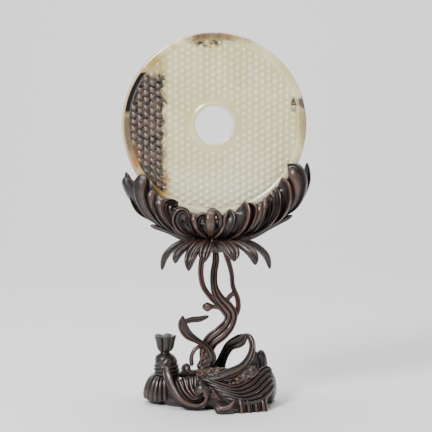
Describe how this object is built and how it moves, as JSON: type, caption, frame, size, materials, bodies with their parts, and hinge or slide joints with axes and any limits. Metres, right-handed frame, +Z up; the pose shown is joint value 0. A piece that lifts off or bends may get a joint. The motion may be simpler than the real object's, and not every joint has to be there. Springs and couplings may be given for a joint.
{
  "type": "jade bi disc",
  "caption": "Round jade disc with a central hole and a field of raised grains, standing upright in a carved hardwood stand of curling leaves, twining stems and waves.",
  "frame": {"origin": "on the flat underside of the stand, straight below the centre of the disc", "axes": "+Z up, +X to the right of the carved front, -Y towards whoever looks at the front of the disc"},
  "size_m": [0.1547, 0.0817, 0.305],
  "materials": {
    "jade": "polished",
    "wood": "waxed"
  },
  "bodies": {
    "root": {"jade_disc": "jade", "carved_stand": "wood"}
  },
  "joints": []
}
